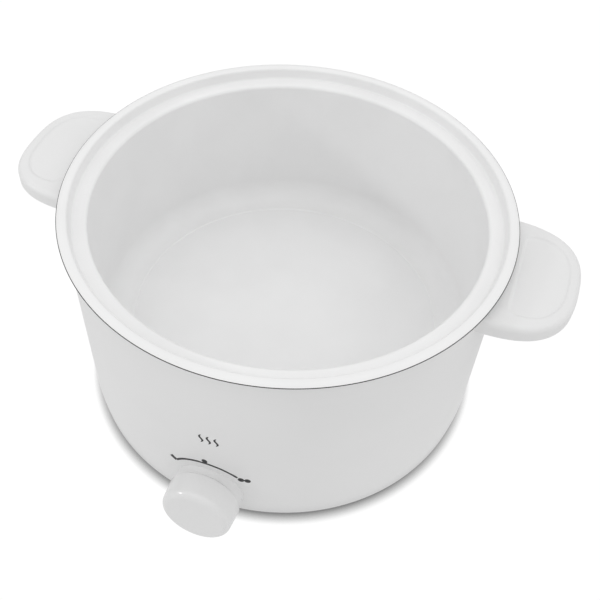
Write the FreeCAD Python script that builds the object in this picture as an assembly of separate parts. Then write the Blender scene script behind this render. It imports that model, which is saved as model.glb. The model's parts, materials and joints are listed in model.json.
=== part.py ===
import FreeCAD, Part
import math
import os

# Round electric slow cooker without its lid. Millimetres, +Z up.
# The origin is the middle of the footprint, on the surface that the feet stand on.
# The handles lie along +X and -X, the control knob faces -Y and the power inlet faces +Y.

V = FreeCAD.Vector
X_AXIS = V(1, 0, 0)
Y_AXIS = V(0, 1, 0)
Z_AXIS = V(0, 0, 1)
ORIGIN = V(0, 0, 0)

# ---- driving dimensions ----
RIM_R = 135.0               # outer radius of the pot's flange
RIM_Z = 150.0               # highest line of the flange
POT_T = 1.2                 # sheet thickness of the pot
POT_WALL_R = 118.1          # radius of the cooking space
POT_FLOOR_Z = 44.0          # inside floor
POT_CORNER_R = 15.2         # radius between wall and floor
POT_STEP_R = 101.6          # the floor lies lower inside this circle
POT_STEP_H = 0.5
POT_LEDGE_Z = 143.2         # seat for a lid, below the flange

HOUSING_BOTTOM_Z = 2.0
HOUSING_TOP_Z = 148.0
HOUSING_TOP_R = 131.0
HOUSING_WAIST_Z = 26.3      # the rounded lower edge starts here
HOUSING_WAIST_R = 129.7
HOUSING_FOOT_R = 125.5      # radius where the lower edge meets the bottom
HOUSING_T = 2.4
RIB_DEPTH = 4.6             # how far the well's shoulder stands in from the outer face
LIP_T = 1.1                 # thin wall above the shoulder, round the well's edge
BASE_GAP = 0.3              # room round the base plate
BASE_REST_W = 3.6           # ledge inside the housing that the base plate lies against
WELL_SEAT_Z = 140.5         # shoulder inside the housing that carries the well

WELL_R = 122.3              # inside radius of the heating well
WELL_T = 0.6
WELL_FLOOR_Z = 39.0
WELL_CORNER_R = 16.0

BAND_LOW_Z = 60.0           # heating band round the well
BAND_HIGH_Z = 112.0
BAND_R_IN = WELL_R + WELL_T + 0.05
BAND_R_OUT = BAND_R_IN + 1.2
BAND_GAP_ANGLE = 60         # where the band, its straps and the blanket are open
BLANKET_R_OUT = 126.3
SHIELD_Z = 32.6             # heat shield between the well and the wiring
SHIELD_R = 98.0
SHIELD_RIM_W = 4.0
SHIELD_WIRE_HOLES = ((42.1, -25.9), (0.0, 45.4))    # under the fuse lead and the earth lead

BASE_Z = 3.1                # underside of the base plate
BASE_T = 2.5
BASE_R = 122.6
FOOT_PCD_R = 104.0
FOOT_ANGLES = (45, 135, 225, 315)
FOOT_NECK_R = 3.0
TIE_PCD_R = 78.0            # three tie rods hold the well to the base plate
TIE_ANGLES = (30, 150, 270)
TIE_R = 2.0
TIE_HOLE_R = 2.1
TIE_POCKET_TOP = BASE_Z + 6.0
TIE_NUT_H = 3.0
SPACER_R = 4.0

HANDLE_TOP_Z = 142.0
HANDLE_BOTTOM_Z = 131.5
HANDLE_MID_X = 123.7        # centre of the handle's superellipse
HANDLE_A = 49.2             # its half length along X
HANDLE_B = 43.6             # its half width along Y
HANDLE_N = 2.73             # its exponent
HANDLE_SCREW_Y = 22.0
HANDLE_SCREW_Z = 136.4
HANDLE_SCREW_R = 1.25
HANDLE_EDGE_R = 3.8         # rounding of the handle's upper edge
HANDLE_UNDER_R = 1.6
HANDLE_SCREW_SEAT_X = 124.6  # flat inside the housing that the screw heads bear on
REST_MID_X = 143.4          # thumb rest: a shallow D-shaped recess in the handle's top
REST_A = 23.6
REST_B = 32.4
REST_N = 2.5
REST_INNER_X = 137.0
REST_CORNER_R = 6.0
REST_DEPTH = 0.8

KNOB_Z = 26.0               # height of the knob's axis at the housing wall
KNOB_TILT_DEG = 4.0         # the axis rises outwards by this angle
KNOB_FRONT_R = 21.4
KNOB_BACK_R = 22.4
KNOB_BACK = 7.0             # distance from the wall to the knob's back edge
KNOB_FRONT = 23.0           # distance from the wall to the knob's face
KNOB_EDGE_R = 4.2
KNOB_FACE_T = 2.6
KNOB_HUB_R = 6.0
KNOB_HUB_START = 4.6
KNOB_PAD_R = 9.0            # pad inside the housing that the switch is clamped to
KNOB_PAD_END = 1.3
KNOB_COLLAR_R = 21.0        # moulded collar on the housing, behind the knob
KNOB_COLLAR_END = 6.5       # distance from the wall to the collar's end
KNOB_COLLAR_T = 2.0
SHAFT_R = 3.0
SHAFT_FLAT = 1.5            # distance from the shaft's axis to its flat
BUSH_R = 5.0
SWITCH_FRONT = -5.2         # the switch's face against the pad in the housing
SWITCH_DEPTH = 17.0
SWITCH_W = 30.0
SWITCH_H = 21.0
SWITCH_WALL_T = 1.8
SWITCH_BACK_T = 2.2
SWITCH_COVER_T = 3.0
CAM_START = SWITCH_FRONT - 11.5
CAM_R = 6.0
CAM_H = 7.0

INLET_Z = 26.0              # height of the power inlet's centre
INLET_PAD_Y = 131.6         # flat outer face of the pad around the inlet
INLET_PAD_W = 56.0
INLET_PAD_H = 30.0
INLET_PAD_T = 8.0
INLET_BEZEL_W = 50.0
INLET_BEZEL_H = 24.0
INLET_BEZEL_T = 2.4
INLET_BARREL_W = 28.0
INLET_BARREL_H = 20.0
INLET_DEPTH = 22.0
INLET_FIT = 0.3
INLET_SCREW_X = 20.0
INLET_SCREW_R = 1.2
SOCKET_W = 24.4
SOCKET_H = 16.6
SOCKET_DEPTH = 18.4
INLET_PIN_PLACES = ((-7.0, INLET_Z - 2.0), (7.0, INLET_Z - 2.0), (0.0, INLET_Z + 2.0))

BLOCK_PLACE = V(0, 72, BASE_Z + BASE_T)             # foot of the terminal block
TERMINAL_X = (-11, 0, 11)
FUSE_PLACE = V(46, 0, WELL_FLOOR_Z - WELL_T)        # on the well's underside
FUSE_R = 1.9
FUSE_Z = FUSE_PLACE.z - 2.6
FUSE_HALF = 9.0
EARTH_END = V(0, 30, WELL_FLOOR_Z - WELL_T - 2.2)
WIRE_R = 1.3
LEAD_R = 1.0
WIRE_Z = BASE_Z + BASE_T + 6.5
CLAMP_REACH = 2.1           # a wire ends this far from the middle of the terminal block
CHANNEL_R = 125.3           # leads rise between the well and the housing at this radius


# ---- helpers ----
def cyl(radius, length, start, direction=Z_AXIS):
    return Part.makeCylinder(radius, length, start, direction)


def ring(r_out, r_in, length, start, direction=Z_AXIS):
    return cyl(r_out, length, start, direction).cut(cyl(r_in, length, start, direction))


def block(size_x, size_y, size_z, centre):
    corner = centre - V(size_x / 2, size_y / 2, size_z / 2)
    return Part.makeBox(size_x, size_y, size_z, corner)


def on_circle(radius, angle_deg, z):
    angle = math.radians(angle_deg)
    return V(radius * math.cos(angle), radius * math.sin(angle), z)


def rounded_edges(corners):
    """Edges of an open path through corners (r, z, fillet radius) in the XZ plane."""
    points = [V(r, 0, z) for r, z, _ in corners]
    edges = []
    start = points[0]
    for i in range(1, len(corners) - 1):
        fillet = corners[i][2]
        corner = points[i]
        if fillet <= 0:
            edges.append(Part.LineSegment(start, corner).toShape())
            start = corner
            continue
        back = (points[i - 1] - corner).normalize()
        ahead = (points[i + 1] - corner).normalize()
        half = math.acos(max(-1.0, min(1.0, back.dot(ahead)))) / 2
        reach = fillet / math.tan(half)
        first = corner + back * reach
        last = corner + ahead * reach
        centre = corner + (back + ahead).normalize() * (fillet / math.sin(half))
        middle = centre + (corner - centre).normalize() * fillet
        if (first - start).Length > 1e-6:
            edges.append(Part.LineSegment(start, first).toShape())
        edges.append(Part.Arc(first, middle, last).toShape())
        start = last
    edges.append(Part.LineSegment(start, points[-1]).toShape())
    return edges


def turned(edges):
    """Solid of revolution about Z of a closed profile in the XZ plane."""
    face = Part.Face(Part.Wire(edges))
    return face.revolve(ORIGIN, Z_AXIS, 360)


def pressed_shell(corners, thickness):
    """Sheet-metal shell of revolution: the path is its upper side, the sheet lies below."""
    upper = rounded_edges(corners)
    lower_corners = offset_corners(corners, thickness)
    lower = rounded_edges(lower_corners)
    rim = Part.LineSegment(lower[0].Vertexes[0].Point, upper[0].Vertexes[0].Point).toShape()
    hub = Part.LineSegment(upper[-1].Vertexes[-1].Point, lower[-1].Vertexes[-1].Point).toShape()
    return turned(upper + [hub] + lower[::-1] + [rim])


def offset_corners(corners, distance):
    """The same path moved to its right-hand side, with its fillets kept concentric."""
    points = [V(r, 0, z) for r, z, _ in corners]
    steps = [(points[i + 1] - points[i]).normalize() for i in range(len(points) - 1)]
    normals = [V(-step.z, 0, step.x) for step in steps]
    moved = []
    for i, (_, _, fillet) in enumerate(corners):
        if i == 0:
            moved.append((points[0].x + normals[0].x * distance,
                          points[0].z + normals[0].z * distance, 0))
            continue
        if i == len(corners) - 1:
            moved.append((points[i].x + normals[-1].x * distance,
                          points[i].z + normals[-1].z * distance, 0))
            continue
        before = normals[i - 1]
        after = normals[i]
        mitre = (before + after) * (distance / (1 + before.dot(after)))
        turn = steps[i - 1].cross(steps[i]).y
        radius = fillet - distance if turn < 0 else fillet + distance
        moved.append((points[i].x + mitre.x, points[i].z + mitre.z, max(radius, 0.2)))
    return moved


def housing_radius(z):
    """Outer radius of the housing at height z."""
    if z >= HOUSING_WAIST_Z:
        share = (z - HOUSING_WAIST_Z) / (HOUSING_TOP_Z - HOUSING_WAIST_Z)
        return HOUSING_WAIST_R + (HOUSING_TOP_R - HOUSING_WAIST_R) * share
    drop = (HOUSING_WAIST_Z - z) / (HOUSING_WAIST_Z - HOUSING_BOTTOM_Z)
    return HOUSING_FOOT_R + (HOUSING_WAIST_R - HOUSING_FOOT_R) * math.sqrt(1 - drop * drop)


KNOB_ORIGIN = V(0, -housing_radius(KNOB_Z), KNOB_Z)
KNOB_OUT = V(0, -math.cos(math.radians(KNOB_TILT_DEG)), math.sin(math.radians(KNOB_TILT_DEG)))
KNOB_PLACE = FreeCAD.Placement(KNOB_ORIGIN, FreeCAD.Rotation(Z_AXIS, KNOB_OUT))


def on_knob_axis(shape):
    """Place a shape that was made along +Z, with z = 0 at the housing wall."""
    placed = shape.copy()
    placed.Placement = KNOB_PLACE.multiply(placed.Placement)
    return placed


def fused(shapes):
    result = shapes[0].multiFuse(shapes[1:]) if len(shapes) > 1 else shapes[0]
    return result.removeSplitter()


# ---- housing ----
def lower_edge_point(angle_deg):
    """Point of the quarter ellipse between the wall and the bottom."""
    angle = math.radians(angle_deg)
    radial = HOUSING_WAIST_R - HOUSING_FOOT_R
    tall = HOUSING_WAIST_Z - HOUSING_BOTTOM_Z
    return V(HOUSING_WAIST_R - radial * (1 - math.cos(angle)), 0,
             HOUSING_WAIST_Z - tall * math.sin(angle))


def housing_shell():
    rib_r = HOUSING_TOP_R - RIB_DEPTH
    lip_r = HOUSING_TOP_R - LIP_T
    wall_r = HOUSING_TOP_R - HOUSING_T
    ledge_z = BASE_Z + BASE_T + 0.1
    edges = [
        Part.LineSegment(V(HOUSING_TOP_R, 0, HOUSING_TOP_Z), lower_edge_point(0)).toShape(),
        Part.Arc(lower_edge_point(0), lower_edge_point(25), lower_edge_point(50)).toShape(),
        Part.Arc(lower_edge_point(50), lower_edge_point(70), lower_edge_point(90)).toShape(),
    ]
    inner = [
        (HOUSING_FOOT_R, HOUSING_BOTTOM_Z, 0),
        (BASE_R + BASE_GAP, HOUSING_BOTTOM_Z, 0),
        (BASE_R + BASE_GAP, ledge_z, 0),
        (BASE_R - BASE_REST_W, ledge_z, 0),
        (BASE_R - BASE_REST_W, ledge_z + HOUSING_T, 0),
        (housing_radius(ledge_z + HOUSING_T) - HOUSING_T, ledge_z + HOUSING_T, 1.0),
        (HOUSING_WAIST_R - HOUSING_T, HOUSING_WAIST_Z, 40.0),
        (wall_r - 0.2, WELL_SEAT_Z - 11, 0),
        (rib_r, WELL_SEAT_Z - 8, 0),
        (rib_r, WELL_SEAT_Z, 0),
        (lip_r, WELL_SEAT_Z, 0),
        (lip_r, HOUSING_TOP_Z, 0),
        (HOUSING_TOP_R, HOUSING_TOP_Z, 0),
    ]
    return turned(edges + rounded_edges(inner))


def knob_collar():
    """Ring wall that stands out of the housing behind the knob and hides its nut."""
    start = V(0, 0, -4.0)
    collar = cyl(KNOB_COLLAR_R, KNOB_COLLAR_END - start.z, start)
    collar = collar.makeFillet(0.6, circles_at(collar, KNOB_COLLAR_END))
    collar = collar.cut(cyl(KNOB_COLLAR_R - KNOB_COLLAR_T, 20, start - V(0, 0, 1)))
    room_inside = cyl(HOUSING_WAIST_R - HOUSING_T + 0.3, 60, V(0, 0, KNOB_Z - 30))
    return on_knob_axis(collar).cut(room_inside)


def outer_housing():
    shell = housing_shell()
    knob_pad = on_knob_axis(cyl(KNOB_PAD_R, KNOB_PAD_END - SWITCH_FRONT, V(0, 0, SWITCH_FRONT)))
    shell = shell.fuse(knob_pad)
    shell = shell.fuse(knob_collar())
    shell = shell.cut(on_knob_axis(cyl(BUSH_R + 0.15, 20, V(0, 0, -12))))
    pad_middle = V(0, INLET_PAD_Y - INLET_PAD_T / 2, INLET_Z)
    pad = block(INLET_PAD_W, INLET_PAD_T, INLET_PAD_H, pad_middle)
    pad = pad.makeFillet(3.0, upright_edges(pad, Y_AXIS))
    inside = cyl(HOUSING_WAIST_R - HOUSING_T - 0.2, 60, V(0, 0, INLET_Z - 30))
    shell = shell.fuse(pad.cut(inside))
    opening_w = INLET_BARREL_W + 2 * INLET_FIT
    opening_h = INLET_BARREL_H + 2 * INLET_FIT
    shell = shell.cut(block(opening_w, 40, opening_h, V(0, INLET_PAD_Y, INLET_Z)))
    for side in (-1, 1):
        start = V(side * INLET_SCREW_X, INLET_PAD_Y + 1, INLET_Z)
        shell = shell.cut(cyl(INLET_SCREW_R, 10, start, V(0, -1, 0)))
    for side in (-1, 1):
        for y in (-HANDLE_SCREW_Y, HANDLE_SCREW_Y):
            start = V(side * (HOUSING_TOP_R + 2), y, HANDLE_SCREW_Z)
            shell = shell.cut(cyl(HANDLE_SCREW_R + 0.2, 14, start, V(-side, 0, 0)))
            seat = V(side * HANDLE_SCREW_SEAT_X, y, HANDLE_SCREW_Z)
            shell = shell.cut(cyl(3.2, 6, seat, V(-side, 0, 0)))
    return shell.removeSplitter()


def upright_edges(solid, direction):
    """Straight edges of a solid that run along a direction."""
    found = []
    for edge in solid.Edges:
        if edge.Curve.TypeId != "Part::GeomLine":
            continue
        if abs(abs(edge.tangentAt(edge.FirstParameter).dot(direction)) - 1) < 1e-6:
            found.append(edge)
    return found


# ---- pot and well ----
def inner_pot():
    corners = [
        (RIM_R, RIM_Z - 1.15, 0),
        (RIM_R - 2.6, RIM_Z + 0.12, 5.0),
        (RIM_R - 6.3, RIM_Z - 0.3, 1.6),
        (RIM_R - 7.8, POT_LEDGE_Z, 1.4),
        (POT_WALL_R, POT_LEDGE_Z, 2.2),
        (POT_WALL_R, POT_FLOOR_Z + POT_STEP_H, POT_CORNER_R),
        (POT_STEP_R + 0.4, POT_FLOOR_Z + POT_STEP_H, 0.3),
        (POT_STEP_R - 0.4, POT_FLOOR_Z, 0.3),
        (0, POT_FLOOR_Z, 0),
    ]
    return pressed_shell(corners, POT_T)


def heating_well():
    corners = [
        (HOUSING_TOP_R - 1.5, WELL_SEAT_Z + WELL_T, 0),
        (WELL_R, WELL_SEAT_Z + WELL_T, 2.0),
        (WELL_R, WELL_FLOOR_Z, WELL_CORNER_R),
        (0, WELL_FLOOR_Z, 0),
    ]
    well = pressed_shell(corners, WELL_T)
    for angle in TIE_ANGLES:
        well = well.cut(cyl(TIE_HOLE_R, 4, on_circle(TIE_PCD_R, angle, WELL_FLOOR_Z - 2)))
    return well


# ---- heating band and insulation ----
def open_band(r_out, r_in, z_low, z_high, gap, gap_angle):
    """Ring with a gap of the given width across it."""
    band = ring(r_out, r_in, z_high - z_low, V(0, 0, z_low))
    slot = block(30, gap, z_high - z_low + 2, V(r_out, 0, (z_low + z_high) / 2))
    slot.rotate(ORIGIN, Z_AXIS, gap_angle)
    return band.cut(slot)


def heater_band():
    return open_band(BAND_R_OUT, BAND_R_IN, BAND_LOW_Z, BAND_HIGH_Z, 14, BAND_GAP_ANGLE)


def heater_straps():
    straps = []
    for z in (BAND_LOW_Z + 10, BAND_HIGH_Z - 16):
        strap = open_band(BAND_R_OUT + 0.55, BAND_R_OUT + 0.05, z, z + 6, 9, BAND_GAP_ANGLE)
        ears = []
        for side in (-1, 1):
            ear = block(1.9, 0.8, 6, V(BAND_R_OUT + 0.85, side * 4.9, z + 3))
            ear.rotate(ORIGIN, Z_AXIS, BAND_GAP_ANGLE)
            ears.append(ear)
        straps.append(fused([strap] + ears))
    return Part.makeCompound(straps)


def insulation_blanket():
    return open_band(BLANKET_R_OUT, BAND_R_OUT + 0.75, BAND_LOW_Z - 2, BAND_HIGH_Z + 8, 16,
                     BAND_GAP_ANGLE)


def heat_shield():
    corners = [
        (SHIELD_R, SHIELD_Z + 1.4, 0),
        (SHIELD_R - SHIELD_RIM_W, SHIELD_Z, 2.0),
        (0, SHIELD_Z, 0),
    ]
    shield = pressed_shell(corners, 0.6)
    for angle in TIE_ANGLES:
        shield = shield.cut(cyl(TIE_HOLE_R, 4, on_circle(TIE_PCD_R, angle, SHIELD_Z - 2)))
    for x, y in SHIELD_WIRE_HOLES:
        shield = shield.cut(cyl(5.0, 4, V(x, y, SHIELD_Z - 2)))
    return shield


def shield_spacers():
    top = WELL_FLOOR_Z - WELL_T
    tubes = [ring(SPACER_R, TIE_HOLE_R + 0.05, top - SHIELD_Z, on_circle(TIE_PCD_R, angle, SHIELD_Z))
             for angle in TIE_ANGLES]
    return Part.makeCompound(tubes)


def tie_rods():
    """Countersunk bolts from the well's floor down to the base plate."""
    rods = []
    for angle in TIE_ANGLES:
        foot = on_circle(TIE_PCD_R, angle, TIE_POCKET_TOP - 5.4)
        rod = cyl(TIE_R, WELL_FLOOR_Z - foot.z, foot)
        head = cyl(4.2, 1.0, on_circle(TIE_PCD_R, angle, WELL_FLOOR_Z))
        rods.append(fused([rod, head]))
    return Part.makeCompound(rods)


def hex_prism(across_flats, height, start, direction=Z_AXIS):
    radius = across_flats / math.sqrt(3)
    corners = [on_circle(radius, 60 * i, 0) for i in range(7)]
    prism = Part.Face(Part.makePolygon(corners)).extrude(V(0, 0, height))
    prism.Placement = FreeCAD.Placement(start, FreeCAD.Rotation(Z_AXIS, direction))
    return prism


def tie_nuts():
    nuts = []
    for angle in TIE_ANGLES:
        start = on_circle(TIE_PCD_R, angle, TIE_POCKET_TOP - BASE_T - TIE_NUT_H)
        nut = hex_prism(7.0, TIE_NUT_H, start)
        nuts.append(nut.cut(cyl(TIE_R + 0.02, 10, start - V(0, 0, 2))))
    return Part.makeCompound(nuts)


# ---- base ----
def base_plate():
    plate = cyl(BASE_R, BASE_T, V(0, 0, BASE_Z))
    plate = plate.fuse(ring(60, 56, 3, V(0, 0, BASE_Z + BASE_T)))
    for angle in TIE_ANGLES:
        plate = plate.fuse(cyl(8.0, TIE_POCKET_TOP - BASE_Z, on_circle(TIE_PCD_R, angle, BASE_Z)))
    for angle in TIE_ANGLES:
        pocket = cyl(5.6, TIE_POCKET_TOP - BASE_T - BASE_Z, on_circle(TIE_PCD_R, angle, BASE_Z))
        plate = plate.cut(pocket)
        plate = plate.cut(cyl(TIE_HOLE_R, 12, on_circle(TIE_PCD_R, angle, BASE_Z)))
    for angle in FOOT_ANGLES:
        plate = plate.cut(cyl(FOOT_NECK_R, 10, on_circle(FOOT_PCD_R, angle, BASE_Z - 2)))
    for row in range(-3, 4):
        slot = block(44 - 4 * abs(row), 3.0, 10, V(0, row * 7.0, BASE_Z + 2))
        slot = slot.makeFillet(1.45, upright_edges(slot, Z_AXIS))
        plate = plate.cut(slot)
    return plate.removeSplitter()


def rubber_feet():
    feet = []
    for angle in FOOT_ANGLES:
        pad = cyl(9.0, BASE_Z, on_circle(FOOT_PCD_R, angle, 0))
        pad = pad.makeFillet(0.8, [pad.Edges[2]])
        neck = cyl(FOOT_NECK_R, BASE_T + 0.1, on_circle(FOOT_PCD_R, angle, BASE_Z))
        barb = Part.makeCone(4.0, 2.4, 2.6, on_circle(FOOT_PCD_R, angle, BASE_Z + BASE_T))
        feet.append(fused([pad, neck, barb]))
    return Part.makeCompound(feet)


# ---- handles, made on the +X side and turned half a turn for the other ----
def superellipse_face(mid_x, a, b, n, z, inner_x):
    """D-shaped face: a superellipse beyond mid_x, closed straight at inner_x."""
    count = 12
    points = []
    for i in range(-count, count + 1):
        t = math.pi / 2 * i / count
        x = mid_x + a * abs(math.cos(t)) ** (2 / n)
        y = b * math.copysign(abs(math.sin(t)) ** (2 / n), t)
        points.append(V(x, y, z))
    curve = Part.BSplineCurve()
    curve.interpolate(points, InitialTangent=X_AXIS, FinalTangent=V(-1, 0, 0))
    edges = [
        Part.LineSegment(V(inner_x, -b, z), points[0]).toShape(),
        curve.toShape(),
        Part.LineSegment(points[-1], V(inner_x, b, z)).toShape(),
        Part.LineSegment(V(inner_x, b, z), V(inner_x, -b, z)).toShape(),
    ]
    edges = [edge for edge in edges if edge.Length > 1e-6]
    return Part.Face(Part.Wire(edges))


def thumb_rest(z, height):
    """D-shaped block that cuts the thumb rest."""
    face = superellipse_face(REST_MID_X, REST_A, REST_B, REST_N, z, REST_INNER_X)
    solid = face.extrude(V(0, 0, height))
    corners = []
    for edge in upright_edges(solid, Z_AXIS):
        if edge.Vertexes[0].Point.x < REST_INNER_X + 0.1:
            corners.append(edge)
    return solid.makeFillet(REST_CORNER_R, corners)


def edges_at(solid, z, min_x):
    """Edges of a solid that lie at height z and reach beyond min_x."""
    found = []
    for edge in solid.Edges:
        box = edge.BoundBox
        if abs(box.ZMin - z) < 1e-4 and abs(box.ZMax - z) < 1e-4 and box.XMax > min_x:
            found.append(edge)
    return found


def handle_on_right():
    face = superellipse_face(HANDLE_MID_X, HANDLE_A, HANDLE_B, HANDLE_N, HANDLE_BOTTOM_Z,
                             HANDLE_MID_X - 8)
    body = face.extrude(V(0, 0, HANDLE_TOP_Z - HANDLE_BOTTOM_Z))
    body = body.makeFillet(HANDLE_EDGE_R, edges_at(body, HANDLE_TOP_Z, HANDLE_MID_X))
    body = body.makeFillet(HANDLE_UNDER_R, edges_at(body, HANDLE_BOTTOM_Z, HANDLE_MID_X))
    body = body.cut(cyl(HOUSING_TOP_R - 0.03, 40, V(0, 0, HANDLE_BOTTOM_Z - 10)))
    body = body.cut(thumb_rest(HANDLE_TOP_Z - REST_DEPTH, 6))
    for y in (-HANDLE_SCREW_Y, HANDLE_SCREW_Y):
        start = V(HOUSING_TOP_R - 10, y, HANDLE_SCREW_Z)
        body = body.cut(cyl(HANDLE_SCREW_R + 0.02, 19, start, X_AXIS))
    return body


def other_side(shape):
    turned_shape = shape.copy()
    turned_shape.rotate(ORIGIN, Z_AXIS, 180)
    return turned_shape


def handle_screws():
    """Pan-head screws from inside the housing into each handle."""
    head_t = 1.7
    screws = []
    for y in (-HANDLE_SCREW_Y, HANDLE_SCREW_Y):
        head = cyl(2.7, head_t, V(HANDLE_SCREW_SEAT_X - head_t, y, HANDLE_SCREW_Z), X_AXIS)
        shank = cyl(HANDLE_SCREW_R, 14.0, V(HANDLE_SCREW_SEAT_X, y, HANDLE_SCREW_Z), X_AXIS)
        slot = block(1.2, 4.0, 0.7, V(HANDLE_SCREW_SEAT_X - head_t, y, HANDLE_SCREW_Z))
        screw = fused([head, shank]).cut(slot)
        screws.append(screw)
        screws.append(other_side(screw))
    return Part.makeCompound(screws)


# ---- control: everything is made along +Z and placed on the knob's axis ----
def control_knob():
    outer = Part.makeCone(KNOB_BACK_R, KNOB_FRONT_R, KNOB_FRONT - KNOB_BACK, V(0, 0, KNOB_BACK))
    outer = outer.makeFillet(KNOB_EDGE_R, circles_at(outer, KNOB_FRONT))
    cavity = cyl(KNOB_FRONT_R - 2.2, KNOB_FRONT - KNOB_BACK - KNOB_FACE_T, V(0, 0, KNOB_BACK))
    cavity = cavity.makeFillet(1.6, circles_at(cavity, KNOB_FRONT - KNOB_FACE_T))
    knob = outer.cut(cavity)
    hub_length = KNOB_FRONT - 1.5 - KNOB_HUB_START
    knob = knob.fuse(cyl(KNOB_HUB_R, hub_length, V(0, 0, KNOB_HUB_START)))
    for i in range(4):
        web = block(KNOB_FRONT_R - 5, 1.2, 8.0, V(12.0, 0, KNOB_FRONT - 5.6))
        web.rotate(ORIGIN, Z_AXIS, 45 + 90 * i)
        knob = knob.fuse(web)
    bore = cyl(SHAFT_R + 0.02, 14.6, V(0, 0, 4.0))
    flat = block(10, 10, 40, V(0, -5 - SHAFT_FLAT - 0.03, 10))
    knob = knob.cut(bore.cut(flat))
    return on_knob_axis(knob.removeSplitter())


def circles_at(solid, z):
    return [e for e in solid.Edges if abs(e.BoundBox.ZMin - z) < 1e-4 and e.BoundBox.ZMax - z < 1e-4]


def knob_hub_ring():
    """Steel ring that grips the knob's hub round the shaft."""
    return on_knob_axis(ring(KNOB_HUB_R + 0.8, KNOB_HUB_R, 3.0, V(0, 0, KNOB_HUB_START + 0.6)))


def control_shaft():
    shaft = cyl(SHAFT_R, 39.7, V(0, 0, SWITCH_FRONT - SWITCH_DEPTH + 0.7))
    flat = block(10, 10, 14.2, V(0, -5 - SHAFT_FLAT, 11.3))
    return on_knob_axis(shaft.cut(flat))


def switch_case():
    """Rear box of the rotary switch, with a bearing for the shaft's end."""
    length = SWITCH_DEPTH - SWITCH_COVER_T
    start = SWITCH_FRONT - SWITCH_DEPTH
    case = block(SWITCH_W, SWITCH_H, length, V(0, 0, start + length / 2))
    case = case.makeFillet(1.5, upright_edges(case, Z_AXIS))
    middle = V(0, 0, start + SWITCH_BACK_T + length / 2)
    case = case.cut(block(SWITCH_W - 2 * SWITCH_WALL_T, SWITCH_H - 2 * SWITCH_WALL_T, length, middle))
    return on_knob_axis(case.cut(cyl(SHAFT_R + 0.05, 5, V(0, 0, start + 0.5))))


def switch_cover():
    """Front plate of the switch with the threaded bush that the shaft turns in."""
    plate = block(SWITCH_W, SWITCH_H, SWITCH_COVER_T, V(0, 0, SWITCH_FRONT - SWITCH_COVER_T / 2))
    plate = plate.makeFillet(1.5, upright_edges(plate, Z_AXIS))
    bush = cyl(BUSH_R, 3.6 - SWITCH_FRONT, V(0, 0, SWITCH_FRONT))
    cover = plate.fuse(bush)
    return on_knob_axis(cover.cut(cyl(SHAFT_R + 0.05, 20, V(0, 0, SWITCH_FRONT - 5))))


def switch_nut():
    nut = hex_prism(14.0, 2.0, V(0, 0, 1.4))
    return on_knob_axis(nut.cut(cyl(BUSH_R + 0.02, 10, V(0, 0, -2))))


def switch_cam():
    """Drum on the shaft with two lobes that press the contact springs."""
    drum = cyl(CAM_R, CAM_H, V(0, 0, CAM_START))
    for angle in (200, 250):
        lobe = cyl(1.4, CAM_H, on_circle(CAM_R - 0.8, angle, CAM_START))
        drum = drum.fuse(lobe)
    return on_knob_axis(drum.cut(cyl(SHAFT_R, 9, V(0, 0, CAM_START - 1))))


def switch_contacts():
    """Three flat contact springs beside the cam, standing on the back wall of the case."""
    start = SWITCH_FRONT - SWITCH_DEPTH + SWITCH_BACK_T
    springs = []
    for x in (-10.5, 10.5):
        springs.append(block(0.4, 5.0, 10.0, V(x, 0, start + 5.0)))
    springs.append(block(5.0, 0.4, 10.0, V(0, 8.0, start + 5.0)))
    compound = Part.makeCompound(springs)
    return on_knob_axis(compound)


def switch_terminals():
    """Blade terminals on the back of the switch."""
    start = SWITCH_FRONT - SWITCH_DEPTH
    blades = [block(0.8, 6.3, 8.0, V(x, 0, start - 4.0)) for x in (-9, 9)]
    blades.append(block(6.3, 0.8, 8.0, V(0, 7.4, start - 4.0)))
    compound = Part.makeCompound(blades)
    return on_knob_axis(compound)


# ---- power inlet at the back ----
def power_inlet():
    bezel_middle = V(0, INLET_PAD_Y + INLET_BEZEL_T / 2, INLET_Z)
    bezel = block(INLET_BEZEL_W, INLET_BEZEL_T, INLET_BEZEL_H, bezel_middle)
    bezel = bezel.makeFillet(5.0, upright_edges(bezel, Y_AXIS))
    barrel_middle = V(0, INLET_PAD_Y - INLET_DEPTH / 2, INLET_Z)
    barrel = block(INLET_BARREL_W, INLET_DEPTH, INLET_BARREL_H, barrel_middle)
    body = bezel.fuse(barrel)
    socket_middle = V(0, INLET_PAD_Y + INLET_BEZEL_T - SOCKET_DEPTH / 2, INLET_Z)
    socket = block(SOCKET_W, SOCKET_DEPTH, SOCKET_H, socket_middle)
    upper = [e for e in upright_edges(socket, Y_AXIS) if e.Vertexes[0].Point.z > INLET_Z]
    socket = socket.makeChamfer(4.0, upper)
    body = body.cut(socket)
    for side in (-1, 1):
        hole = cyl(1.7, 10, V(side * INLET_SCREW_X, INLET_PAD_Y - 3, INLET_Z), Y_AXIS)
        body = body.cut(hole)
    for x, z in INLET_PIN_PLACES:
        body = body.cut(block(2.0, 30, 4.0, V(x, INLET_PAD_Y - 24, z)))
    return body.removeSplitter()


def inlet_pins():
    pins = [block(2.0, 27.0, 4.0, V(x, INLET_PAD_Y - 14.5, z)) for x, z in INLET_PIN_PLACES]
    return Part.makeCompound(pins)


def inlet_screws():
    screws = []
    for side in (-1, 1):
        face = V(side * INLET_SCREW_X, INLET_PAD_Y + INLET_BEZEL_T, INLET_Z)
        head = Part.makeCone(3.0, 2.4, 1.6, face, Y_AXIS)
        shank = cyl(INLET_SCREW_R, 6.0, face - V(0, 6.0, 0), Y_AXIS)
        cross = block(3.4, 1.2, 0.7, face + V(0, 1.6, 0))
        cross = cross.fuse(block(0.7, 1.2, 3.4, face + V(0, 1.6, 0)))
        screws.append(fused([head, shank]).cut(cross))
    return Part.makeCompound(screws)


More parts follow.
